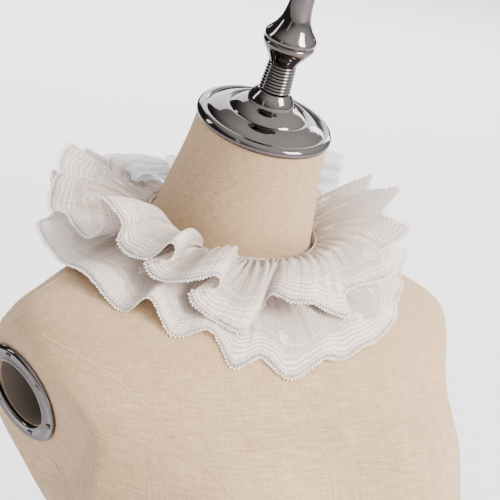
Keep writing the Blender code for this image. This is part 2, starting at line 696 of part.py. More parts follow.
def make_bow(ribbon, form, tiers):
    knot = bmesh.new()
    bmesh.ops.create_cube(knot, size=1.0)
    bmesh.ops.subdivide_edges(knot, edges=knot.edges, cuts=2, use_grid_fill=True)
    for vert in knot.verts:
        ball = vert.co.normalized() * 0.5
        vert.co = vert.co * 0.45 + ball * 0.55
    lean = Matrix.Rotation(math.radians(NECK_LEAN), 4, "X")
    scale = Matrix.Diagonal((*KNOT_SIZE, 1.0))
    x, behind, height = KNOT_CENTRE
    for vert in knot.verts:
        vert.co = to_row(behind_neck(x, behind, height) + (lean @ scale @ vert.co))
    new_object("bow_knot", knot, ribbon)
    for word, points in BOW_LOOPS.items():
        droop = math.radians(LOOP_DROOP[word])
        away = neck_up().cross(Vector((1.0, 0.0, 0.0)))
        grid = ribbon_grid(points, neck_up() * math.cos(droop) + away * math.sin(droop))
        for tier in tiers:
            lift_clear(grid, tree_of(tier), RIBBON_CLEARANCE, neck_up(), whole=True, spread=7.0)
        cloth_solid("bow_loop_" + word, grid, RIBBON_WALL, ribbon)
    for word, points in BOW_TAILS.items():
        grid = ribbon_grid(points, Vector((1.0, 0.0, 0.0)))
        for tier in reversed(tiers):
            lift_clear(grid, tree_of(tier), RIBBON_CLEARANCE, neck_up())
        lift_clear(grid, tree_of(form), RIBBON_CLEARANCE, Vector((0.0, 1.0, 0.0)))
        cloth_solid("bow_tail_" + word, grid, RIBBON_WALL, ribbon)


def main():
    clear_scene()
    linen = material("linen", (0.62, 0.47, 0.31), 0.85)
    lace = material("lace", (0.82, 0.79, 0.76), 0.8)
    ribbon = material("organza_ribbon", (0.86, 0.86, 0.9), 0.4)
    chrome = material("chrome", (0.55, 0.54, 0.54), 0.12, 1.0)
    form = make_form(linen)
    band = make_neckband(lace, form)
    tiers = make_lace(form, band, lace)
    make_cap(chrome)
    make_arm_rings(chrome)
    make_bow(ribbon, form, tiers)


main()
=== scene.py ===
import math
import random

import bmesh
import bpy
import numpy as np
from mathutils import Matrix, Vector
from mathutils.bvhtree import BVHTree


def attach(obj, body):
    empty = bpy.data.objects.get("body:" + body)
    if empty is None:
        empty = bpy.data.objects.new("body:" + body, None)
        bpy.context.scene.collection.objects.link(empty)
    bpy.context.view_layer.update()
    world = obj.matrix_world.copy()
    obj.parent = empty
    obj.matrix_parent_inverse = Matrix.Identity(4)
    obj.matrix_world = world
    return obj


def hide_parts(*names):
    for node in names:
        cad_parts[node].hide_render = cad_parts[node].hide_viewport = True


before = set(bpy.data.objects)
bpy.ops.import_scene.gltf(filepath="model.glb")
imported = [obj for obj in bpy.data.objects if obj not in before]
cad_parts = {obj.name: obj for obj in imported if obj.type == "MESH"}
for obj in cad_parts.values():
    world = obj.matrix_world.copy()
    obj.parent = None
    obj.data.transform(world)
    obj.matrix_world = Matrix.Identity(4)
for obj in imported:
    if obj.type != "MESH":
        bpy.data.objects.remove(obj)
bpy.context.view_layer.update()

mm = 0.001
weldDistance = 0.01 * mm
sharpTurning = math.radians(38.0)       # edges of turned metal that stay crisp
sharpCover = math.radians(40.0)         # and of the linen cover
scene = bpy.context.scene

neck = {
    "lean": 18.0,           # the neck leans forward, in degrees
    "rimHeight": 500.0,     # cap's rim above the base
    "rimBehind": 40.0,      # base centre in front of the rim's centre
    "necklineDrop": 78.0,   # heights round the neck are measured from here down
}
neckline = {"front": -3.0, "back": -20.0}     # heights of the collar's neckline


def necklineHeight(bearing):
    half = 0.5 * (neckline["front"] - neckline["back"])
    return neckline["back"] + half * (1.0 + math.cos(math.radians(bearing)))


# millimetres from the centre of the cap's rim, to metres in the frame
def toFrame(point):
    return Vector((point[0], point[1] + neck["rimBehind"], point[2] + neck["rimHeight"])) * mm


neckLean = math.radians(neck["lean"])
neckTurn = Matrix.Rotation(neckLean, 4, "X")
neckUp = Vector((0.0, -math.sin(neckLean), math.cos(neckLean)))
neckBack = Vector((0.0, math.cos(neckLean), math.sin(neckLean)))


# places about the neck: heights along it, from the neckline
def roundNeck(bearing, reach, height):
    turn = math.radians(bearing)
    return besideNeck(reach * math.sin(turn), -reach * math.cos(turn), height)


def besideNeck(side, behind, height):
    along = height - neck["necklineDrop"]
    return Vector((side, -along * math.sin(neckLean) + behind * math.cos(neckLean),
                   along * math.cos(neckLean) + behind * math.sin(neckLean)))


def finish(name, bm, material, smooth=True):
    mesh = bpy.data.meshes.new(name)
    bm.to_mesh(mesh)
    bm.free()
    mesh.materials.append(material)
    if smooth:
        mesh.shade_smooth()
    piece = bpy.data.objects.new(name, mesh)
    scene.collection.objects.link(piece)
    return piece


# a sheet of columns by rows faces, shaped by place(u, v)
def gridPiece(name, columns, rows, place, material, uvSize):
    bm = bmesh.new()
    bmesh.ops.create_grid(bm, x_segments=columns, y_segments=rows, size=0.5)
    uvLayer = bm.loops.layers.uv.new("UVMap")
    for face in bm.faces:
        for loop in face.loops:
            u = loop.vert.co.x + 0.5
            v = loop.vert.co.y + 0.5
            loop[uvLayer].uv = (u * uvSize[0], v * uvSize[1])
    for vert in bm.verts:
        vert.co = place(vert.co.x + 0.5, vert.co.y + 0.5)
    bmesh.ops.recalc_face_normals(bm, faces=bm.faces)
    return finish(name, bm, material)


def thicken(piece, wall):
    solid = piece.modifiers.new("wall", "SOLIDIFY")
    solid.thickness = wall * mm
    solid.offset = 0.0


# the piece with its modifiers applied
def settled(piece):
    depsgraph = bpy.context.evaluated_depsgraph_get()
    mesh = bpy.data.meshes.new_from_object(piece.evaluated_get(depsgraph))
    piece.modifiers.clear()
    piece.data = mesh
    return piece


def treeOf(piece):
    return BVHTree.FromObject(piece, bpy.context.evaluated_depsgraph_get())


# turned piece: radius and height in millimetres, spun about local Z and then placed
def spun(name, profile, steps, place, material, closed=False):
    bm = bmesh.new()
    verts = [bm.verts.new((radius * mm, 0.0, height * mm)) for radius, height in profile]
    pairs = list(zip(verts, verts[1:])) + ([(verts[-1], verts[0])] if closed else [])
    edges = [bm.edges.new(pair) for pair in pairs]
    bmesh.ops.spin(bm, geom=verts + edges, cent=(0, 0, 0), axis=(0, 0, 1),
                   angle=2 * math.pi, steps=steps, use_merge=True)
    bmesh.ops.remove_doubles(bm, verts=bm.verts, dist=weldDistance)
    if not closed:
        bmesh.ops.holes_fill(bm, edges=[edge for edge in bm.edges if edge.is_boundary])
    bmesh.ops.recalc_face_normals(bm, faces=bm.faces)
    bm.transform(place)
    piece = finish(name, bm, material)
    piece.data.set_sharp_from_angle(angle=sharpTurning)
    return piece


# rows of a smooth curve through the rows of a table
def smoothRows(rows, between):
    table = np.array(rows, dtype=float)
    padded = np.vstack([2 * table[0] - table[1], table, 2 * table[-1] - table[-2]])
    out = []
    for index in range(len(table) - 1):
        a, b, c, d = padded[index:index + 4]
        for step in range(between):
            t = step / between
            out.append(0.5 * (2 * b + (c - a) * t + (2 * a - 5 * b + 4 * c - d) * t ** 2
                              + (3 * b - a - 3 * c + d) * t ** 3))
    out.append(table[-1])
    return np.array(out)


# distance along a line of points, at each of them
def distances(points):
    steps = np.linalg.norm(np.diff(points, axis=0), axis=1)
    return np.concatenate([[0.0], np.cumsum(steps)])


# a random value from the pair's first, up to the second more
def chance(draw, pair):
    return pair[0] + pair[1] * draw.random()


def spotAt(at, gone, points):
    return Vector([np.interp(at, gone, points[:, k]) for k in range(3)])


def keep(piece, slot, *nodes):
    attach(piece, "root")
    if nodes:
        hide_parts(*nodes)
    return piece


# short way to make and link shader nodes
class Nodes:
    def __init__(self, name):
        self.material = bpy.data.materials.new(name)
        self.material.use_nodes = True
        self.tree = self.material.node_tree
        self.shader = self.tree.nodes["Principled BSDF"]

    def add(self, kind, inputs=None, **settings):
        node = self.tree.nodes.new(kind)
        for key, value in settings.items():
            setattr(node, key, value)
        for key, value in (inputs or {}).items():
            if isinstance(value, bpy.types.NodeSocket):
                self.tree.links.new(value, node.inputs[key])
            else:
                node.inputs[key].default_value = value
        return node

    def math(self, operation, a, b=0.5, c=0.0, clamp=False):
        node = self.add("ShaderNodeMath", {0: a, 1: b, 2: c}, operation=operation)
        node.use_clamp = clamp
        return node.outputs[0]

    def times(self, a, b):
        return self.math("MULTIPLY", a, b)

    def invert(self, value):
        return self.math("SUBTRACT", 1.0, value)

    # a wave of the value that goes through nought twice in each length
    def wave(self, value, length):
        return self.math("SINE", self.times(value, 2 * math.pi / length))

    def mix(self, factor, a, b):
        node = self.add("ShaderNodeMix", {0: factor, 6: (*a, 1) if isinstance(a, tuple) else a,
                                          7: (*b, 1)}, data_type="RGBA")
        return node.outputs[2]

    def noise(self, vector, scale, detail=3.0, rough=0.5):
        node = self.add("ShaderNodeTexNoise", {"Vector": vector, "Scale": scale,
                                               "Detail": detail, "Roughness": rough})
        return node.outputs["Fac"]

    def stretch(self, vector, scale):
        return self.add("ShaderNodeMapping", {"Vector": vector, "Scale": scale}).outputs[0]

    def ramp(self, value, low, high):
        node = self.add("ShaderNodeMapRange", {0: value, 1: low, 2: high, 3: 0.0, 4: 1.0})
        return node.outputs[0]

    def bump(self, height, distance, strength=1.0):
        node = self.add("ShaderNodeBump", {"Height": height, "Distance": distance,
                                           "Strength": strength})
        self.tree.links.new(node.outputs[0], self.shader.inputs["Normal"])

    def link(self, value, socket):
        self.tree.links.new(value, self.shader.inputs[socket])

    def set(self, socket, value):
        self.shader.inputs[socket].default_value = value

    def uv(self):
        return self.add("ShaderNodeUVMap", uv_map="UVMap").outputs[0]

    def objectCoords(self):
        return self.add("ShaderNodeTexCoord").outputs["Object"]


# painted reflection: the dark and pale base colours dim the metal far below real chrome, standing
# in for the dark room it would mirror; the smear noise varies them and the roughness at random
chromeLook = {
    "dark": (0.085, 0.076, 0.072), "pale": (0.14, 0.127, 0.12),
    "smear": 38.0, "rough": 0.05, "roughRange": 0.06,
}


def chromeMaterial():
    look = chromeLook
    n = Nodes("chromeDimmedReflection")
    smear = n.noise(n.objectCoords(), look["smear"], 4.0)
    # base colour dimmed as a painted dark reflection, varied by the smear noise
    n.link(n.mix(smear, look["dark"], look["pale"]), "Base Color")
    n.link(n.math("MULTIPLY_ADD", smear, look["roughRange"], look["rough"]), "Roughness")
    n.set("Metallic", 1.0)
    return n.material


linenLook = {
    "dark": (0.27, 0.165, 0.085), "pale": (0.66, 0.455, 0.255), "patch": (0.56, 0.35, 0.18),
    "slubAlong": 60.0, "slubAcross": 700.0,     # streaks in a metre, along and across a thread
    "weftShare": 0.6, "weave": 420.0, "weaveShare": 0.16, "tone": (0.38, 0.74),
    "patches": 9.0, "patchShare": 0.35, "rough": 0.86, "sheen": 0.12, "relief": 0.4,
}


def linenMaterial():
    look = linenLook
    n = Nodes("linenCover")
    uv = n.uv()
    along, across = look["slubAlong"], look["slubAcross"]
    weftSlub = n.noise(n.stretch(uv, (along, across, 1.0)), 1.0, 4.0, 0.65)
    warpSlub = n.noise(n.stretch(uv, (across, along, 1.0)), 1.0, 4.0, 0.65)
    weft, warp = [n.add("ShaderNodeTexWave", {"Vector": uv, "Scale": look["weave"],
                                              "Distortion": 1.2},
                        bands_direction=way).outputs["Fac"] for way in ("Y", "X")]
    weave = n.times(n.math("ADD", weft, warp), 0.5)
    slubs = n.math("ADD", n.times(weftSlub, look["weftShare"]),
                   n.times(warpSlub, 1.0 - look["weftShare"]))
    patch = n.noise(n.objectCoords(), look["patches"], 3.0)
    tone = n.ramp(n.math("ADD", slubs, n.times(weave, look["weaveShare"])), *look["tone"])
    colour = n.mix(tone, look["dark"], look["pale"])
    colour = n.mix(n.times(patch, look["patchShare"]), colour, look["patch"])
    n.link(colour, "Base Color")
    n.set("Roughness", look["rough"])
    n.set("Sheen Weight", look["sheen"])
    n.bump(n.math("ADD", weave, slubs), look["relief"] * mm, 0.6)
    return n.material


laceLook = {
    "net": (0.42, 0.32, 0.25), "thread": (0.90, 0.775, 0.69), "shade": (0.62, 0.545, 0.52),
    "cord": 2.1,                # cords of the border, from one to the next
    "border": (-4.0, 26.0),     # its least depth, and what noise may add
    "waver": 4.0, "stitch": 1.9, "stitchWaver": 4.0, "cordShare": 0.80,
    "innerCord": 5.5,           # a single cord, inside the border by this much
    "gaps": 950.0, "flowers": 62.0, "petals": 5, "petal": 2.2,
    "solid": 0.56, "clear": 0.44, "rough": 0.75, "sheen": 0.15, "relief": 2.2,
}


# small flowers of five petals, and the thicker rim of each
def laceFlowers(n, uv):
    petal = laceLook["petal"] * mm
    cell = n.add("ShaderNodeTexVoronoi", {"Vector": uv, "Scale": laceLook["flowers"],
                                          "Randomness": 0.55})
    fromCell = n.add("ShaderNodeVectorMath", {0: uv, 1: cell.outputs["Position"]},
                     operation="SUBTRACT").outputs[0]
    spread = n.add("ShaderNodeSeparateXYZ", {0: fromCell})
    turn = n.math("ARCTAN2", spread.outputs[1], spread.outputs[0])
    petals = n.times(turn, 0.5 * laceLook["petals"])
    petals = n.math("ABSOLUTE", n.math("COSINE", petals))
    middle = n.add("ShaderNodeVectorMath", {0: fromCell}, operation="LENGTH").outputs["Value"]
    past = n.math("SUBTRACT", middle, n.math("MULTIPLY_ADD", petals, petal, petal))
    flower = n.invert(n.ramp(past, -0.2 * mm, 0.4 * mm))
    rim = n.times(flower, n.ramp(past, -1.2 * mm, -0.4 * mm))
    return n.times(flower, n.math("MULTIPLY_ADD", rim, 0.35, 0.80))


# corded border along the outer edge, where cords and stitches lie close
def laceBorder(n, uv, along, fromEdge):
    cords = n.math("ABSOLUTE", n.wave(fromEdge, 2 * laceLook["cord"] * mm))
    cords = n.math("POWER", cords, n.times(n.noise(uv, 28.0, 2.0), 0.75))
    shift = n.math("MULTIPLY_ADD", n.noise(uv, 110.0, 2.0), laceLook["stitchWaver"] * mm, along)
    stitch = n.math("MULTIPLY_ADD", n.wave(shift, laceLook["stitch"] * mm), 0.5, 0.5)
    share = laceLook["cordShare"]
    edging = n.math("MULTIPLY_ADD", cords, share, n.times(stitch, 1.0 - share))
    return edging, stitch


# how much thread covers each spot, from none to all
def laceCover(n, uv, width):
    parts = n.add("ShaderNodeSeparateXYZ", {0: uv})
    along, across = parts.outputs[0], parts.outputs[1]
    waver = n.times(n.math("SUBTRACT", n.noise(uv, 75.0, 2.0), 0.5), laceLook["waver"] * mm)
    fromEdge = n.math("ADD", n.math("SUBTRACT", width * mm, across), waver)
    least, more = laceLook["border"]
    depth = n.math("MULTIPLY_ADD", n.noise(n.stretch(uv, (14.0, 0.0, 1.0)), 1.0, 1.0),
                   more * mm, least * mm)
    pastBorder = n.math("SUBTRACT", fromEdge, depth)
    border = n.invert(n.ramp(pastBorder, 0.0, 2.5 * mm))
    edging, stitch = laceBorder(n, uv, along, fromEdge)
    net = n.add("ShaderNodeTexVoronoi", {"Vector": uv, "Scale": laceLook["gaps"]},
                feature="DISTANCE_TO_EDGE").outputs["Distance"]
    netThread = n.invert(n.ramp(net, 0.05, 0.25))
    body = n.math("MAXIMUM", laceFlowers(n, uv), n.math("MULTIPLY_ADD", netThread, 0.32, 0.30))
    cover = n.add("ShaderNodeMix", {0: border, 2: body, 3: edging}).outputs[0]
    lip = n.times(n.invert(n.ramp(fromEdge, 0.8 * mm, 1.6 * mm)), 0.75)
    cover = n.math("SUBTRACT", cover, n.times(lip, n.invert(stitch)))
    inner = n.math("ABSOLUTE", n.math("SUBTRACT", pastBorder, laceLook["innerCord"] * mm))
    inner = n.times(n.invert(n.ramp(inner, 0.3 * mm, 0.7 * mm)), 0.75)
    return n.math("MAXIMUM", cover, inner)


def laceMaterial(name, width):
    look = laceLook
    n = Nodes(name)
    uv = n.uv()
    cover = laceCover(n, uv, width)
    shade = n.noise(n.objectCoords(), 22.0, 3.0)
    colour = n.mix(cover, look["net"], look["thread"])
    colour = n.mix(n.times(shade, 0.25), colour, look["shade"])
    n.link(colour, "Base Color")
    n.link(n.math("MULTIPLY_ADD", cover, look["solid"], look["clear"], clamp=True), "Alpha")
    n.set("Roughness", look["rough"])
    n.set("Sheen Weight", look["sheen"])
    crumple = n.noise(n.stretch(uv, (210.0, 45.0, 1.0)), 1.0, 2.0)
    n.bump(n.math("MULTIPLY_ADD", cover, 0.25, crumple), look["relief"] * mm, 0.8)
    return n.material


def threadMaterial():
    n = Nodes("picotThread")
    twist = n.noise(n.stretch(n.objectCoords(), (900.0, 900.0, 900.0)), 1.0, 2.0)
    n.link(n.mix(twist, (0.78, 0.71, 0.67), (0.92, 0.87, 0.83)), "Base Color")
    n.set("Roughness", 0.75)
    return n.material


organzaLook = {
    "dark": (0.70, 0.72, 0.78), "pale": (0.88, 0.89, 0.93),
    "along": 300.0, "across": 2600.0,       # threads in a metre, along and across them
    "clear": 0.22, "solid": 0.5, "rough": 0.38, "sheen": 0.4, "relief": 0.2,
}


def organzaMaterial():
    look = organzaLook
    n = Nodes("organza")
    uv = n.uv()
    weave = n.noise(n.stretch(uv, (look["across"], look["along"], 1.0)), 1.0, 2.0)
    cross = n.noise(n.stretch(uv, (look["along"], look["across"], 1.0)), 1.0, 2.0)
    both = n.times(n.math("ADD", weave, cross), 0.5)
    n.link(n.mix(both, look["dark"], look["pale"]), "Base Color")
    n.link(n.math("MULTIPLY_ADD", both, look["solid"], look["clear"]), "Alpha")
    n.set("Roughness", look["rough"])
    n.set("Sheen Weight", look["sheen"])
    n.bump(both, look["relief"] * mm, 0.4)
    return n.material


def plainMaterial(name, colour, rough):
    n = Nodes(name)
    grain = n.noise(n.objectCoords(), 3.0, 2.0)
    dark = tuple(0.97 * part for part in colour)
    n.link(n.mix(grain, dark, colour), "Base Color")
    n.set("Roughness", rough)
    return n.material


chrome = chromeMaterial()
linen = linenMaterial()
thread = threadMaterial()
organza = organzaMaterial()
print("materials made")


camera = {
    "place": (-0.6229, -0.9821, 0.6993),
    "turn": (76.108, -7.125, -29.691),
    "lens": 120.95, "sensor": 36.0, "farthest": 60.0,
}


def makeCamera(values):
    data = bpy.data.cameras.new("camera")
    data.lens = values["lens"]
    data.sensor_width = values["sensor"]
    data.clip_end = values["farthest"]
    view = bpy.data.objects.new("camera", data)
    view.location = values["place"]
    view.rotation_euler = [math.radians(angle) for angle in values["turn"]]
    scene.collection.objects.link(view)
    scene.camera = view


makeCamera(camera)


form = {
    # centre y and z, forward tilt, half width, depth in front and behind, roundness
    "sections": (
        (-0.3, -1, 18, 48.5, 48.5, 48.5, 2),
        (9, -28, 18, 51, 51, 51, 2),
        (18, -56, 18, 56, 55.6, 55.6, 2),
        (23, -71, 18, 58.4, 58, 58, 2),
        (25.4, -80, 18, 59.8, 59.6, 59.6, 2),
        (26, -88, 17.5, 62.4, 61.5, 61, 2),
        (20, -97, 15, 77, 65, 62, 2),
        (12, -106, 12, 108, 69, 66, 2),
        (1, -117, 9, 142, 74, 70, 2),
        (-6, -130, 8, 168, 79, 77, 1.95),
        (-3, -146, 7, 180, 86, 94, 2),
        (2, -170, 6, 186, 105, 112, 2.05),
        (0, -200, 4, 181, 137, 123, 2.1),
        (-3, -235, 2, 178, 151, 129, 2.2),
        (-14, -270, 0, 153, 163, 125, 2.2),
        (-25, -310, 0, 119, 149, 116, 2.2),
        (-32, -350, 0, 109, 130, 108, 2.15),
        (-37, -400, 0, 110, 109, 102, 2.15),
        (-40, -450, 0, 115, 98, 96, 2.15),
        (-40, -500, 0, 120, 94, 94, 2.15),
    ),
    "between": 8,
    "columns": 208,
    "bustSide": 78.0, "bustHeight": -246.0, "bustRadius": 56.0, "bustRise": 30.0,
    "napeHeight": -124.0, "napeRadius": 46.0, "napeSpan": 24.0, "napeRise": 26.0,
    "plateCentre": (166.0, 4.8, -197.0), "plateDown": 22.4, "plateForward": 12.7,
    "plateFlat": 68.0, "plateFade": 104.0, "plateSoft": 5.0,
    "socketRadius": 26.0, "socketDepth": 34.0, "socketSides": 72,
    "coverAround": 0.95, "coverTall": 0.62,      # metres of linen, for its weave
}


def plateFrame(side):
    x, y, z = form["plateCentre"]
    down = math.radians(form["plateDown"])
    ahead = math.radians(form["plateForward"])
    normal = Vector((side * math.cos(down) * math.cos(ahead),
                     -math.cos(down) * math.sin(ahead), -math.sin(down)))
    return Vector((side * x, y, z)), normal


# place and turn of an arm's plate, moved out by a height
def plateSeat(side, height):
    centre, normal = plateFrame(side)
    turn = normal.to_track_quat("Z", "Y").to_matrix().to_4x4()
    return Matrix.Translation(toFrame(centre + normal * height)) @ turn


# the form is pressed flat round each arm's plate, softly at the plate's edge
def pressPlate(point):
    soft = form["plateSoft"]
    for side in (-1, 1):
        centre, normal = plateFrame(side)
        offset = point - centre
        height = offset.dot(normal)
        if height < -4 * soft:
            continue
        spread = (offset - normal * height).length
        fade = (form["plateFade"] - spread) / (form["plateFade"] - form["plateFlat"])
        fade = min(1.0, max(0.0, fade))
        fade = fade * fade * (3.0 - 2.0 * fade)
        excess = height + soft * math.log1p(math.exp(-height / soft))
        point = point - normal * excess * fade
    return point


def formPoint(section, angle):
    y, z, tilt, half, front, back, power = section
    sine = math.sin(angle)
    cosine = math.cos(angle)
    px = half * math.copysign(abs(sine) ** (2.0 / power), sine)
    depth = front if cosine > 0.0 else back
    py = -depth * math.copysign(abs(cosine) ** (2.0 / power), cosine)
    lean = math.radians(tilt)
    point = Vector((px, y + py * math.cos(lean), z + py * math.sin(lean)))
    if point.y < y:
        for side in (-1, 1):
            across = (point.x - side * form["bustSide"]) / form["bustRadius"]
            rise = (point.z - form["bustHeight"]) / form["bustRadius"]
            point.y -= form["bustRise"] * math.exp(-(across ** 2 + rise ** 2))
    elif point.y > y:
        across = point.x / form["napeRadius"]
        rise = (point.z - form["napeHeight"]) / form["napeSpan"]
        point.y += form["napeRise"] * math.exp(-(across ** 2 + rise ** 2))
    return pressPlate(point)


def makeForm():
    sections = smoothRows(form["sections"], form["between"])
    rows = len(sections) - 1

    def place(u, v):
        section = sections[round(v * rows)]
        return toFrame(formPoint(section, 2 * math.pi * u))

    body = gridPiece("formCover", form["columns"], rows, place, linen,
                     (form["coverAround"], form["coverTall"]))
    bm = bmesh.new()
    bm.from_mesh(body.data)
    bmesh.ops.remove_doubles(bm, verts=bm.verts, dist=weldDistance)
    bmesh.ops.holes_fill(bm, edges=[edge for edge in bm.edges if edge.is_boundary])
    bmesh.ops.recalc_face_normals(bm, faces=bm.faces)
    bm.to_mesh(body.data)
    bm.free()
    cutters = []
    radius = form["socketRadius"] * mm
    for side in (-1, 1):
        cutter = bmesh.new()
        bmesh.ops.create_cone(cutter, cap_ends=True, segments=form["socketSides"],
                              radius1=radius, radius2=radius,
                              depth=2 * form["socketDepth"] * mm)
        cutter.transform(plateSeat(side, 0.0))
        tool = finish("socketTool", cutter, socketLining)
        cutters.append(tool)
        cut = body.modifiers.new("socket", "BOOLEAN")
        cut.operation = "DIFFERENCE"
        cut.material_mode = "TRANSFER"
        cut.object = tool
    settled(body)
    for tool in cutters:
        bpy.data.objects.remove(tool, do_unlink=True)
    body.data.shade_smooth()
    body.data.set_sharp_from_angle(angle=sharpCover)
    return keep(body, "linen", "form_torso")


seam = {
    "width": 1.6, "height": 0.35, "step": 1.6, "between": 60,
    # its section: across and up, as shares of half the width and of the height
    "section": ((-1.0, -0.3), (-0.7, 0.6), (0.0, 1.0), (0.7, 0.6), (1.0, -0.3)),
}
seamLines = {
    # points of x, y and z near the form, from the cap rim's centre
    "princess": ((172, -28, -143), (150, -40, -153), (131.6, -55.5, -164), (112, -92, -180),
                 (94, -135, -198), (78, -170, -222), (72, -205, -260), (64, -190, -320),
                 (56, -160, -400), (54, -140, -496)),
    "front": ((0, -60, -100), (0, -93.5, -170), (0, -133.5, -199), (0, -160, -270),
              (0, -150, -380), (0, -140, -496)),
    "side": ((190, -20, -262), (170, -26, -310), (160, -34, -400), (160, -40, -496)),
    "back": ((0, 110, -90), (0, 130, -170), (0, 130, -270), (0, 110, -380), (0, 100, -496)),
    "backPrincess": ((176, 36, -150), (140, 90, -172), (96, 130, -210), (76, 130, -280),
                     (60, 110, -380), (56, 90, -496)),
    "shoulder": ((74, 12, -84), (110, 14, -90), (150, 12, -104), (182, 6, -136)),
}


# close spots along a seam, on the form, with the form's normal at each
def seamSpots(points, side, tree):
    path = smoothRows(points, seam["between"]) * np.array((side, 1.0, 1.0))
    gone = distances(path)
    spots = []
    for at in np.arange(0.0, gone[-1], seam["step"]):
        found = tree.find_nearest(toFrame(spotAt(at, gone, path)))
        spots.append((found[0] / mm, found[1]))
    return spots


def makeSeams(body):
    tree = treeOf(body)
    bits = bmesh.new()
    lines = []
    for points in seamLines.values():
        for side in ((1,) if points[0][0] == 0.0 else (-1, 1)):
            lines.append(seamSpots(points, side, tree))
    section = seam["section"]
    parts = len(section) - 1
    for spots in lines:
        last = len(spots) - 1
        strip = bmesh.ops.create_grid(bits, x_segments=parts, y_segments=last, size=0.5)
        for vert in strip["verts"]:
            across, height = section[round((vert.co.x + 0.5) * parts)]
            index = round((vert.co.y + 0.5) * last)
            spot, normal = spots[index]
            ahead = spots[min(index + 1, last)][0] - spots[max(index - 1, 0)][0]
            aside = ahead.cross(normal).normalized()
            vert.co = (spot + aside * across * 0.5 * seam["width"]
                       + normal * height * seam["height"]) * mm
    bmesh.ops.recalc_face_normals(bits, faces=bits.faces)
    keep(finish("panelSeams", bits, seamThread), "linen")


socketLining = plainMaterial("socketLining", (0.13, 0.10, 0.08), 0.8)
seamThread = plainMaterial("seamThread", (0.50, 0.36, 0.20), 0.85)
body = makeForm()
makeSeams(body)
print("form made")


turnings = {
    "cap": ((49.2, -0.7), (49.9, -0.1), (50.2, 1.0), (50.2, 2.2), (49.7, 3.6), (48.6, 4.9),
            (47.2, 5.7), (45.6, 6.0), (44.6, 5.8), (44.0, 5.3), (43.5, 5.6), (42.8, 6.5),
            (40.4, 7.9), (38.0, 9.2), (35.4, 10.3), (33.0, 11.0), (31.2, 11.5), (30.0, 11.6),
            (29.2, 11.2), (28.7, 11.1), (28.3, 11.6), (27.4, 12.5), (25.6, 14.0),
            (23.6, 15.4), (21.4, 16.7), (19.0, 17.6), (17.6, 18.0), (17.0, 18.5),
            (16.9, 19.6), (16.7, 20.6), (16.1, 21.8), (15.2, 23.4), (14.4, 24.6),
            (13.4, 25.8), (12.5, 26.9), (12.0, 27.7), (11.4, 28.0)),
    "finial": ((9.8, 50.0), (10.5, 50.3), (11.2, 51.9), (12.4, 54.3), (14.0, 56.6),
               (15.8, 59.1), (17.2, 61.4), (18.1, 63.3), (18.6, 64.8), (18.6, 65.8),
               (18.2, 66.5), (17.7, 66.9), (17.8, 67.4), (18.4, 68.1), (18.75, 69.1),
               (18.75, 70.3), (18.3, 71.4), (17.4, 72.6), (16.1, 74.1), (14.5, 76.2),
               (13.0, 78.5), (11.7, 81.0), (10.6, 83.8), (9.8, 87.0), (9.2, 90.5),
               (8.8, 94.0), (8.6, 97.5), (8.4, 100.6), (8.0, 103.2), (7.2, 105.4),
               (6.0, 107.0), (4.4, 107.8)),
    "ring": ((26.6, 0.0), (26.6, 2.4), (26.9, 3.1), (27.6, 3.55), (28.5, 3.5), (29.3, 3.1),
             (29.8, 2.6), (30.5, 2.35), (33.0, 2.2), (35.0, 2.2), (35.6, 2.45), (36.3, 2.95),
             (37.1, 2.95), (37.8, 2.4), (38.25, 1.7), (38.4, 0.9), (38.4, 0.0)),
}
turnSteps = {"cap": 120, "stud": 64, "finial": 96, "ring": 96}
stud = {"ribs": 9, "pointsOfRib": 8, "foot": 28.3, "top": 49.7, "radii": (11.6, 10.4),
        "groove": 1.0, "crest": 0.6}
screw = {"count": 6, "circle": 32.8, "radius": 2.3, "seat": 2.25, "flatter": 0.62,
         "slotHalf": 0.3, "slotFrom": 0.7, "slotDepth": 0.5}
ringLift = 0.3      # the plate stands off the linen by a hair


def studProfile():
    foot, top = stud["radii"]
    steps = stud["ribs"] * stud["pointsOfRib"]
    points = []
    for step in range(steps + 1):
        share = step / steps
        wave = 0.5 - 0.5 * math.cos(2 * math.pi * share * stud["ribs"])
        radius = foot + (top - foot) * share - stud["groove"] * (1.0 - wave ** stud["crest"])
        points.append((radius, stud["foot"] + (stud["top"] - stud["foot"]) * share))
    return points


# pan head with a cross slot
def screwHead(place):
    bm = bmesh.new()
    bmesh.ops.create_uvsphere(bm, u_segments=20, v_segments=12, radius=screw["radius"] * mm)
    bmesh.ops.bisect_plane(bm, geom=bm.verts[:] + bm.edges[:] + bm.faces[:],
                           plane_co=(0, 0, 0), plane_no=(0, 0, -1), clear_outer=True)
    bmesh.ops.holes_fill(bm, edges=[edge for edge in bm.edges if edge.is_boundary])
    bmesh.ops.scale(bm, vec=(1, 1, screw["flatter"]), verts=bm.verts)
    for vert in bm.verts:
        fromCross = min(abs(vert.co.x), abs(vert.co.y))
        if vert.co.z > screw["slotFrom"] * mm and fromCross < screw["slotHalf"] * mm:
            vert.co.z -= screw["slotDepth"] * mm
    bm.transform(place)
    return bm


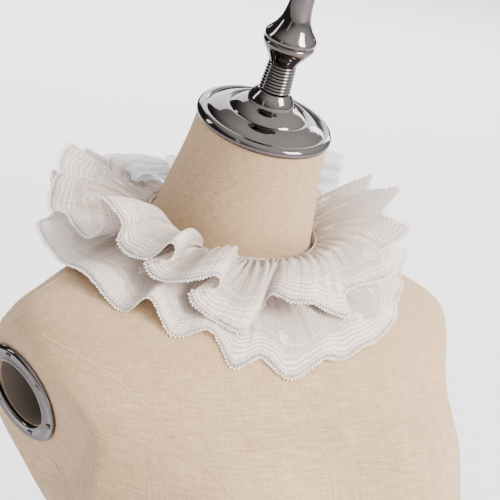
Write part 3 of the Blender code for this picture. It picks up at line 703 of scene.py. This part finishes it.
def makeChrome():
    place = Matrix.Translation(toFrame((0.0, 0.0, 0.0))) @ neckTurn
    for name, profile, word, node in (("capTurned", turnings["cap"], "cap", "neck_cap"),
                                      ("studThreaded", studProfile(), "stud", "neck_stud"),
                                      ("finialTurned", turnings["finial"], "finial", "finial")):
        keep(spun(name, profile, turnSteps[word], place, chrome), "chrome", node)
    for side, word in ((-1, "right"), (1, "left")):
        seat = plateSeat(side, ringLift)
        ring = spun("armRing" + word.capitalize(), turnings["ring"], turnSteps["ring"], seat,
                    chrome, True)
        keep(ring, "chrome", "arm_ring_" + word)
        heads = bmesh.new()
        for index in range(screw["count"]):
            angle = 2 * math.pi * (index + 0.5) / screw["count"]
            spot = Vector((screw["circle"] * math.cos(angle),
                           screw["circle"] * math.sin(angle), screw["seat"])) * mm
            head = screwHead(seat @ Matrix.Translation(spot) @ Matrix.Rotation(angle, 4, "Z"))
            mesh = bpy.data.meshes.new("head")
            head.to_mesh(mesh)
            head.free()
            heads.from_mesh(mesh)
            bpy.data.meshes.remove(mesh)
        keep(finish("armScrews" + word.capitalize(), heads, chrome), "chrome")


makeChrome()
print("chrome made")


# rays that look for what lies under the cloth
probe = {
    "from": 60.0, "fromSide": 150.0,    # how far off they start
    "slant": 0.4, "slantSide": 0.5,     # least slant that a gap is measured at
    "spread": 15, "fall": 0.045,        # columns a lift spreads to, and its loss at each
}
bodyTree = treeOf(body)


# reach of a sewn edge: the least, or clear of the form where that is wider
def clearReach(bearing, height, least, off):
    far = probe["fromSide"]
    start = toFrame(roundNeck(bearing, far, height))
    inward = (toFrame(roundNeck(bearing, 0.0, height)) - start).normalized()
    hit = bodyTree.ray_cast(start, inward)
    slant = max(probe["slantSide"], abs(hit[1].dot(inward)))
    return max(least, far - hit[3] / mm + off / slant)


band = {
    "radius": 62.6, "wall": 1.2, "height": 10.0, "foot": -4.0, "opening": 172.0,
    "shell": 0.5, "steps": 720, "rows": 6, "offForm": 0.8, "plainLace": 400.0,
    "seed": 3, "pucker": 0.28, "turns": (0.16, 0.08),   # of a pucker's wave in each step
    "puckerFoot": 0.35,                                 # share of a pucker at the foot
}


# gathered heading of the lace, with both tiers' inner edges sewn to it
def makeNeckband():
    draw = random.Random(band["seed"])
    steps = band["steps"]
    phase = 0.0
    puckers = []
    for _ in range(steps + 1):
        phase += 2 * math.pi * chance(draw, band["turns"])
        puckers.append(band["pucker"] * math.sin(phase))

    def place(u, v):
        bearing = band["opening"] * (2.0 * u - 1.0)
        height = necklineHeight(bearing) + band["foot"] + band["height"] * v
        half = 0.5 * band["wall"]
        reach = clearReach(bearing, height, band["radius"] + half, half + band["offForm"])
        reach += puckers[round(u * steps)] * (band["puckerFoot"] + v)
        return toFrame(roundNeck(bearing, reach, height))

    round360 = 2 * math.pi * band["radius"] * band["opening"] / 180.0
    piece = gridPiece("neckbandTape", steps, band["rows"], place,
                      laceMaterial("headingLace", band["plainLace"]),
                      (round360 * mm, band["height"] * mm))
    thicken(piece, band["shell"])
    keep(piece, "lace", "neckband")
    return piece


neckbandPiece = makeNeckband()
print("neckband made")


laceWall = 1.0      # of the solids, whose middle the cloth follows
tiers = {
    "upper": {
        # turns of the outer edge: bearing, reach, height, lift of the arch behind it
        "turns": (
            (-158, 104, -14, 2), (-147, 112, -8, 2), (-137, 102, -14, 2), (-124, 130, 15, 2),
            (-114, 133, 4, 6), (-113, 112, 0, 10), (-108, 134, 9, 14), (-106, 136, -17, 5),
            (-103, 126, -15, 2), (-93, 124, -13, 1), (-85, 120, -12, 3), (-80, 118, 6, 14),
            (-83, 123, 25, 24), (-78, 123, 27, 30), (-71.5, 118, 18, 31), (-71.3, 118, 3, 31),
            (-64, 119, 1, 31), (-57, 118, 8, 31), (-53.3, 108, 21, 30), (-51.4, 106, 14, 25),
            (-53, 106, 5, 18), (-57, 109, 2.5, 15), (-59.6, 113, -1, 12), (-56.5, 116.5, -5.5, 10),
            (-51, 118, -5, 12), (-42.5, 118, 4, 31), (-33.8, 110, 11, 30), (-31.9, 108, 4, 24),
            (-33.5, 108, -2, 19), (-37.5, 109.5, -4, 15), (-40.8, 113.5, -8, 12),
            (-38.5, 118, -13, 10), (-32.4, 120.5, -17, 11), (-21, 123, -21, 29),
            (-16, 110, -16, 28), (-12.5, 99, -13, 23), (-10.5, 97, -6, 20), (-10, 103, 1, 21),
            (-5, 112, 1, 26), (5, 114, 1, 30), (9, 98, -8, 22), (23, 117, -24, 31),
            (34, 100, -16, 18), (48, 124, 3, 30), (55, 108, 4, 18), (61, 127, 26, 24),
            (67.5, 106, 27, 12), (75, 118, 42, 14), (83, 102, 30, 8), (93, 113, 32, 8),
            (103, 100, -5, 3), (116, 112, -9, 3), (127, 104, -15, 3), (140, 113, -8, 3),
            (150, 104, -15, 3), (158, 104, -13, 3),
        ),
        "root": 3.2, "out": 0.34, "cut": 49.0, "seed": 4,
    },
    "lower": {
        "turns": (
            (-158, 128, -30, 3), (-147, 134, -12, 6), (-135, 128, -30, 3), (-122, 138, -8, 6),
            (-113, 130, -30, 3), (-103, 143, -28, 6), (-89, 136, -34, 6), (-72, 139, -20, 12),
            (-56, 142, -29, 6), (-51, 134, -12, 9), (-40.5, 140, -35, 2), (-31.5, 128, -24, 3),
            (-22, 139, -44, 1), (-14, 131, -36, 4), (-4, 138, -46, 2), (8, 133, -36, 6),
            (16, 134, -42, 6), (23, 136, -34, 12), (31, 137, -37, 6), (41, 138, -26, 12),
            (51, 134, -28, 6), (61, 136, -19, 12), (69, 138, -27, 6), (77, 144, -12, 12),
            (87, 138, -30, 6), (99, 140, -10, 12), (110, 130, -30, 3), (122, 136, -10, 6),
            (133, 128, -30, 3), (145, 134, -12, 6), (158, 128, -26, 3),
        ),
        "root": -2.2, "out": 0.40, "cut": 68.0, "seed": 9,
    },
    "step": 1.3, "rows": 30, "shell": 0.35,
    "overBand": 1.1, "overForm": 1.0, "overTier": 1.9,
    "rootOffBand": 0.3, "rootOffForm": 2.4,
    "blur": 45.0, "drawn": 0.45,    # how far the gathered edge is drawn towards the flutes
}
gathers = {
    "count": 165, "height": 2.1, "width": 0.42, "start": 0.02, "fade": 2.2,
    "pitches": (0.75, 0.5), "sizes": (0.7, 0.6), "lengths": (0.40, 0.45),   # least and more
}


# even spots along a smooth line through the turns: bearing, reach, height and lift
def outerEdge(turns):
    table = np.array(turns, dtype=float)
    bearing = np.radians(table[:, 0])
    knots = np.column_stack([table[:, 1] * np.sin(bearing), table[:, 1] * np.cos(bearing),
                             table[:, 2], table[:, 3]])
    spans = np.sqrt(np.linalg.norm(np.diff(knots[:, :3], axis=0), axis=1))
    times = np.concatenate([[0.0], np.cumsum(spans)])
    slopes = np.gradient(knots, times, axis=0)
    dense = []
    for index, span in enumerate(spans):
        for t in np.arange(0.0, 1.0, 0.02):
            dense.append((2 * t ** 3 - 3 * t ** 2 + 1) * knots[index]
                         + (3 * t ** 2 - 2 * t ** 3) * knots[index + 1]
                         + (t ** 3 - 2 * t ** 2 + t) * span * slopes[index]
                         + (t ** 3 - t ** 2) * span * slopes[index + 1])
    dense = np.array(dense + [knots[-1]])
    gone = distances(dense[:, :3])
    even = np.linspace(0.0, gone[-1], round(gone[-1] / tiers["step"]) + 1)
    spots = np.column_stack([np.interp(even, gone, dense[:, k]) for k in range(4)])
    side, ahead = spots[:, 0].copy(), spots[:, 1].copy()
    spots[:, 0] = np.degrees(np.unwrap(np.arctan2(side, ahead)))
    spots[:, 1] = np.hypot(side, ahead)
    return spots


# bearings of the gathered edge: nearly even, drawn towards the flutes above them
def rootBearings(bearings):
    spread = round(tiers["blur"] / tiers["step"])
    kernel = np.hanning(2 * spread + 3)[1:-1]
    padded = np.pad(bearings, spread, mode="reflect", reflect_type="odd")
    near = np.maximum.accumulate(np.convolve(padded, kernel / kernel.sum(), mode="valid"))
    even = np.linspace(bearings[0], bearings[-1], len(bearings))
    return tiers["drawn"] * near + (1.0 - tiers["drawn"]) * even


# points of a tier as an array of columns, rows and coordinates
def tierSurface(tier):
    columns = outerEdge(tier["turns"])
    roots = rootBearings(columns[:, 0])
    out = tier["out"]
    rows = tiers["rows"]
    off = band["wall"] + 0.5 * laceWall
    least = band["radius"] + off + tiers["rootOffBand"]
    grid = np.zeros((len(columns), rows + 1, 3))
    for i, ((bearing, reach, height, lift), root) in enumerate(zip(columns, roots)):
        low = tier["root"] + necklineHeight(root)
        rootReach = clearReach(root, low, least, off + tiers["rootOffForm"])
        middle = (root + (bearing - root) * 0.5, rootReach + (reach - rootReach) * out,
                  low + (height - low) * out + lift)
        for j in range(rows + 1):
            v = j / rows
            a, b, c = (1 - v) ** 2, 2 * v * (1 - v), v ** 2
            grid[i, j] = roundNeck(a * root + b * middle[0] + c * bearing,
                                   a * rootReach + b * middle[1] + c * reach,
                                   a * low + b * middle[2] + c * height)
    return grid


def sheetNormals(grid):
    along = np.gradient(grid, axis=0)
    across = np.gradient(grid, axis=1)
    normals = np.cross(along, across)
    return normals / np.maximum(np.linalg.norm(normals, axis=2, keepdims=True), 1e-9)


# small puckers that spread from the gathered edge, no two alike
def gather(grid, tier):
    draw = random.Random(tier["seed"])
    columns, rows = grid.shape[:2]
    place = np.linspace(0.0, 1.0, columns)
    spots = []
    u = 0.0
    while u < 1.0:
        u += chance(draw, gathers["pitches"]) / gathers["count"]
        spots.append((u, chance(draw, gathers["sizes"]), chance(draw, gathers["lengths"])))
    heights = np.zeros((columns, rows))
    v = np.linspace(0.0, 1.0, rows)
    width = gathers["width"] / gathers["count"]
    start = np.clip(v / gathers["start"], 0.0, 1.0)
    for index, (spot, size, length) in enumerate(spots):
        sign = 1.0 if index % 2 else -1.0
        bell = np.exp(-((place - spot) / width) ** 2)
        fall = start * np.exp(-(v / length) ** 2 * gathers["fade"])
        heights += sign * size * np.outer(bell, fall)
    return grid + sheetNormals(grid) * (heights * gathers["height"])[:, :, None]


# how far a point has to rise to be clear of what lies under it, or 0
def riseOver(point, below, gap, direction, sloped):
    far = probe["from"]
    start = toFrame(Vector(point) + direction * far)
    hit = below.ray_cast(start, -direction, (far + 2 * gap) * mm)
    if hit[0] is None:
        return 0.0
    slant = max(probe["slant"], abs(hit[1].dot(direction))) if sloped else 1.0
    return max(0.0, far + gap / slant - hit[3] / mm)


# cloth lifted where it needs to be, with its sewn edge left in place
def liftClear(grid, below, gap, direction):
    columns, rows = grid.shape[:2]
    lift = np.zeros((columns, rows))
    for i in range(columns):
        for j in range(1, rows):
            lift[i, j] = riseOver(grid[i, j], below, gap, direction, True)
    spread = lift.copy()
    for shift in range(1, probe["spread"] + 1):
        share = 1.0 - probe["fall"] * shift
        for way in (-shift, shift):
            spread = np.maximum(spread, share * np.roll(lift, way, axis=0))
    spread[:, 0] = 0.0
    return grid + np.array(direction) * spread[:, :, None]


# cloth through the points of a grid, cut flat to a length and a width
def clothPiece(name, grid, material, length, width, shell):
    columns = grid.shape[0] - 1
    rows = grid.shape[1] - 1

    def place(u, v):
        return toFrame(grid[round(u * columns), round(v * rows)])

    piece = gridPiece(name, columns, rows, place, material, (length * mm, width * mm))
    thicken(piece, shell)
    return piece


picots = {
    "pitch": 2.5, "halfWidth": 0.9, "length": 2.0, "thread": 0.35, "turns": 6, "sides": 4,
    "overlap": 0.25, "sizes": (0.85, 0.3),      # least and more
}


# row of thread loops along the outer edge, joined in one mesh
def makePicots(name, grid, seed):
    draw = random.Random(seed)
    edge = grid[:, -1]
    inner = grid[:, -3]
    gone = distances(edge)
    count = int(gone[-1] / picots["pitch"])
    loop = bmesh.new()
    bmesh.ops.create_circle(loop, segments=picots["sides"], radius=picots["thread"] * mm)
    loop.transform(Matrix.Translation((picots["halfWidth"] * mm, 0, 0))
                   @ Matrix.Rotation(math.radians(90.0), 4, "X"))
    bmesh.ops.spin(loop, geom=loop.verts[:] + loop.edges[:], cent=(0, 0, 0), axis=(0, 0, 1),
                   angle=math.pi, steps=picots["turns"], use_merge=False)
    bmesh.ops.scale(loop, vec=(1.0, picots["length"] / picots["halfWidth"], 1.0),
                    verts=loop.verts)
    template = bpy.data.meshes.new("loop")
    loop.to_mesh(template)
    loop.free()
    joined = bmesh.new()
    for index in range(count):
        at = (index + 0.5) * picots["pitch"]
        spot = spotAt(at, gone, edge)
        ahead = spotAt(at + 1.0, gone, edge) - spot
        back = spotAt(at, gone, inner)
        tangent = ahead.normalized()
        outward = (spot - back).normalized()
        normal = tangent.cross(outward).normalized()
        outward = normal.cross(tangent)
        size = chance(draw, picots["sizes"])
        turn = Matrix((tangent, outward, normal)).transposed().to_4x4()
        start = len(joined.verts)
        joined.from_mesh(template)
        joined.verts.ensure_lookup_table()
        foot = Matrix.Translation(toFrame(spot - outward * picots["overlap"]))
        bmesh.ops.transform(joined, matrix=foot @ turn @ Matrix.Scale(size, 4),
                            verts=joined.verts[start:])
    bpy.data.meshes.remove(template)
    return finish(name, joined, thread)


def makeTiers():
    made = []
    below, gap = neckbandPiece, tiers["overBand"]
    for word in ("lower", "upper"):
        tier = tiers[word]
        grid = gather(tierSurface(tier), tier)
        grid = liftClear(grid, treeOf(below), gap, neckUp)
        grid = liftClear(grid, bodyTree, tiers["overForm"], neckUp)
        length = float(distances(grid[:, -1])[-1])
        piece = clothPiece(word + "Tier", grid, laceMaterial(word + "Lace", tier["cut"]),
                           length, tier["cut"], tiers["shell"])
        keep(piece, "lace", word + "_ruffle")
        loops = keep(makePicots(word + "Picots", grid, tier["seed"] + 20), "lace")
        below, gap = piece, tiers["overTier"]
        made.append(piece)
    return made


lowerTier, upperTier = makeTiers()
print("lace made")


bow = {
    "width": 34.0, "shell": 0.25, "steps": 12, "rows": 18,
    "overLace": 1.7, "overForm": 1.2,
    "fadeFrom": 6.0, "fadeLength": 17.0, "fadeLeast": 0.02,
    "creases": 5.3, "creaseRise": 2.0, "creaseDrift": 0.02,     # creases in half waves
    "knotSize": (17.0, 12.0, 19.0), "knotCentre": (0.0, 74.0, -16.0),
    "knotCuts": 15, "knotRound": 0.55, "knotCrease": 0.07, "knotWaves": (16.0, 2.5, 5.0),
    "droop": {"left": 8.0, "right": 82.0},
    "loops": {
        # side, behind, height, share of the full width
        "left": ((8.5, 73.4, -15.6, 0.42), (24, 69, -14, 0.5), (50, 64, -9, 0.55),
                 (80, 50, -3, 0.75), (103, 38, 0, 0.9), (110, 37, 0, 0.9), (108, 44, 0, 0.9),
                 (84, 64, -4, 0.75), (52, 77, -10, 0.55), (26, 79, -14, 0.5),
                 (8.5, 75.6, -16.4, 0.42)),
        "right": ((-8.5, 74, -17.6, 0.42), (-24, 75, -16, 0.62), (-40, 73, -14, 0.75),
                  (-51, 70, -12, 0.8), (-57.5, 66, -11.5, 0.8), (-60.5, 64, -9.5, 0.8),
                  (-57.5, 66, -7.5, 0.8), (-51, 71, -7.5, 0.8), (-40, 75, -10.5, 0.75),
                  (-24, 77, -12, 0.6), (-8.5, 74, -14.6, 0.42)),
    },
    "tails": {
        "left": ((5.4, 77.5, -28, 0.28), (10, 88, -22, 0.42), (16.5, 104, -20, 0.66),
                 (22, 122, -22, 0.85), (27, 138, -36, 0.92), (31, 136, -62, 0.95),
                 (36, 124, -96, 0.95), (40, 112, -130, 0.95)),
        "right": ((-5.4, 77.5, -28, 0.28), (-10, 88, -22, 0.42), (-18, 104, -20, 0.66),
                  (-26, 122, -22, 0.85), (-32, 138, -36, 0.92), (-36, 136, -60, 0.95),
                  (-42, 126, -90, 0.95), (-46, 118, -116, 0.95)),
    },
}


# ribbon along a path, its width laid along across, with creases that spread from the knot
def ribbonGrid(points, across):
    path = smoothRows(points, bow["steps"])
    rows = bow["rows"]
    through = Vector((1.0, 0.0, 0.0)).cross(across)
    if through.length < 0.5:
        through = neckUp
    waves = bow["creases"] * math.pi
    grid = np.zeros((len(path), rows + 1, 3))
    for i, (side, behind, height, share) in enumerate(path):
        width = bow["width"] * share
        crease = bow["creaseRise"] * math.sqrt(1.0 / share - 1.0) * width / waves
        for j in range(rows + 1):
            ripple = crease * math.sin(waves * j / rows + bow["creaseDrift"] * i)
            grid[i, j] = (besideNeck(side, behind, height)
                          + across * (width * (j / rows - 0.5)) + through * ripple)
    return grid


# a loop lifted until it clears what lies under it, by less near the knot
def liftWhole(grid, below, direction):
    middles = grid.mean(axis=1)
    fades = np.clip((abs(middles[:, 0]) - bow["fadeFrom"]) / bow["fadeLength"],
                    bow["fadeLeast"], 1.0)
    most = max(riseOver(point, below, bow["overLace"], direction, False) / fade
               for line, fade in zip(grid, fades) for point in line)
    return grid + np.array(direction) * (most * fades)[:, None, None]


def makeRibbon(name, grid, node):
    length = float(distances(grid.mean(axis=1))[-1])
    width = bow["width"]
    piece = clothPiece(name, grid, organza, length, width, bow["shell"])
    keep(piece, "organza_ribbon", node)


# soft block, rounder than a cube, with creases down it
def makeKnot():
    bits = bmesh.new()
    bmesh.ops.create_cube(bits, size=1.0)
    bmesh.ops.subdivide_edges(bits, edges=bits.edges, cuts=bow["knotCuts"],
                              use_grid_fill=True)
    size = Matrix.Diagonal((*bow["knotSize"], 1.0))
    middle = besideNeck(*bow["knotCentre"])
    across, sway, along = bow["knotWaves"]
    for vert in bits.verts:
        spot = vert.co.lerp(vert.co.normalized() * 0.5, bow["knotRound"])
        wave = math.sin(across * spot.x + sway * math.sin(along * spot.z))
        spot.y *= 1.0 + bow["knotCrease"] * wave
        vert.co = toFrame(middle + (neckTurn @ size @ spot))
    keep(finish("knot", bits, organza), "organza_ribbon", "bow_knot")


def makeBow():
    makeKnot()
    for word, points in bow["loops"].items():
        tilt = math.radians(bow["droop"][word])
        grid = ribbonGrid(points, neckUp * math.cos(tilt) + neckBack * math.sin(tilt))
        for tier in (lowerTier, upperTier):
            grid = liftWhole(grid, treeOf(tier), neckUp)
        makeRibbon("loop" + word.capitalize(), grid, "bow_loop_" + word)
    for word, points in bow["tails"].items():
        grid = ribbonGrid(points, Vector((1.0, 0.0, 0.0)))
        for tier in (upperTier, lowerTier):
            grid = liftClear(grid, treeOf(tier), bow["overLace"], neckUp)
        grid = liftClear(grid, bodyTree, bow["overForm"], Vector((0.0, 1.0, 0.0)))
        makeRibbon("tail" + word.capitalize(), grid, "bow_tail_" + word)


makeBow()
print("bow made")


studio = {
    "floor": (0.90, 0.885, 0.93), "floorHalf": 20.0, "floorDrop": 0.5, "floorRough": 0.9,
    "sky": (1.0, 0.985, 1.0),
    "brightSide": (0.38, -0.58, 0.72),      # the side that most light comes from
    "range": (0.0, 0.98, 0.12, 2.6),        # from and to, along it, and strength at each
    "lights": {
        # place, what it points at, width and height, power, colour
        "key": ((1.2, -2.0, 1.6), (0.0, 0.0, 0.42), (1.0, 1.0), 155.0, (1.0, 0.96, 0.90)),
        "backdrop": ((2.4, 4.2, 3.0), (2.4, 4.2, 0.0), (5.0, 5.0), 450.0, (0.97, 0.96, 1.0)),
        "rimLeft": ((-1.4, 1.0, 1.6), (0.0, 0.0, 0.45), (0.3, 1.0), 12.0, (1.0, 1.0, 1.0)),
        "rimRight": ((1.8, 0.9, 1.4), (0.0, 0.0, 0.45), (0.3, 1.0), 12.0, (1.0, 1.0, 1.0)),
        "fill": ((-2.2, -1.2, 1.2), (0.0, 0.0, 0.4), (0.25, 1.4), 3.0, (0.95, 0.96, 1.0)),
    },
}


def areaLight(name, place, aim, size, power, colour):
    data = bpy.data.lights.new(name, "AREA")
    data.shape = "RECTANGLE"
    data.size, data.size_y = size
    data.energy = power
    data.color = colour
    light = bpy.data.objects.new(name, data)
    light.location = place
    light.rotation_euler = (Vector(aim) - Vector(place)).to_track_quat("-Z", "Y").to_euler()
    scene.collection.objects.link(light)


def makeFloor():
    bm = bmesh.new()
    bmesh.ops.create_grid(bm, x_segments=2, y_segments=2, size=studio["floorHalf"])
    bmesh.ops.translate(bm, vec=(0, 0, -studio["floorDrop"] * mm), verts=bm.verts)
    paint = plainMaterial("paleFloor", studio["floor"], studio["floorRough"])
    floor = finish("floor", bm, paint, False)


# sky that is brightest on one side
def makeSky():
    world = bpy.data.worlds.new("studio")
    world.use_nodes = True
    nodes = world.node_tree.nodes
    links = world.node_tree.links
    sky = nodes["Background"]
    sky.inputs[0].default_value = (*studio["sky"], 1)
    heading = nodes.new("ShaderNodeTexCoord")
    bright = nodes.new("ShaderNodeVectorMath")
    bright.operation = "DOT_PRODUCT"
    bright.inputs[1].default_value = studio["brightSide"]
    links.new(heading.outputs["Generated"], bright.inputs[0])
    strength = nodes.new("ShaderNodeMapRange")
    strength.interpolation_type = "SMOOTHSTEP"
    for slot, value in enumerate(studio["range"]):
        strength.inputs[slot + 1].default_value = value
    links.new(bright.outputs["Value"], strength.inputs[0])
    links.new(strength.outputs[0], sky.inputs[1])
    scene.world = world


makeFloor()
makeSky()
for name, values in studio["lights"].items():
    areaLight(name, *values)
print("studio made")
